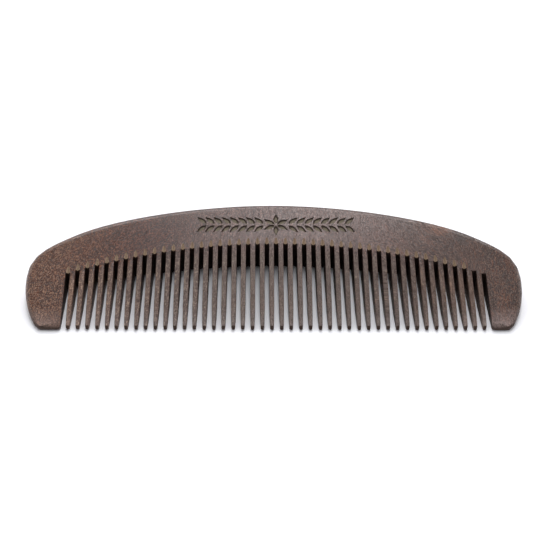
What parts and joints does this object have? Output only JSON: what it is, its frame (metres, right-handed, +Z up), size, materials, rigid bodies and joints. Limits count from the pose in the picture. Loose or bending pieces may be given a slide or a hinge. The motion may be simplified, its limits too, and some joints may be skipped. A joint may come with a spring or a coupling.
{
  "type": "beard comb",
  "caption": "Solid dark wooden beard comb with an arched spine, fine parallel teeth between two wide end guards, and a wedge section that thins towards the tips.",
  "frame": {"origin": "on the surface that the comb lies on, under the middle of its box", "axes": "+X along the comb's length, to the right of someone facing the tooth tips; +Y from the tooth tips to the crest of the spine; +Z up, away from the tapered back face that the comb lies on"},
  "size_m": [0.14, 0.0436, 0.0127],
  "materials": {
    "dark_wood": "satin"
  },
  "bodies": {
    "root": {"spine": "dark_wood", "left_end_guard": "dark_wood", "right_end_guard": "dark_wood", "tooth_01": "dark_wood", "tooth_02": "dark_wood", "tooth_03": "dark_wood", "tooth_04": "dark_wood", "tooth_05": "dark_wood", "tooth_06": "dark_wood", "tooth_07": "dark_wood", "tooth_08": "dark_wood", "tooth_09": "dark_wood", "tooth_10": "dark_wood", "tooth_11": "dark_wood", "tooth_12": "dark_wood", "tooth_13": "dark_wood", "tooth_14": "dark_wood", "tooth_15": "dark_wood", "tooth_16": "dark_wood", "tooth_17": "dark_wood", "tooth_18": "dark_wood", "tooth_19": "dark_wood", "tooth_20": "dark_wood", "tooth_21": "dark_wood", "tooth_22": "dark_wood", "tooth_23": "dark_wood", "tooth_24": "dark_wood", "tooth_25": "dark_wood", "tooth_26": "dark_wood", "tooth_27": "dark_wood", "tooth_28": "dark_wood", "tooth_29": "dark_wood", "tooth_30": "dark_wood", "tooth_31": "dark_wood", "tooth_32": "dark_wood", "tooth_33": "dark_wood", "tooth_34": "dark_wood", "tooth_35": "dark_wood", "tooth_36": "dark_wood", "tooth_37": "dark_wood", "tooth_38": "dark_wood", "tooth_39": "dark_wood", "tooth_40": "dark_wood", "tooth_41": "dark_wood", "tooth_42": "dark_wood", "tooth_43": "dark_wood", "tooth_44": "dark_wood"}
  },
  "joints": []
}
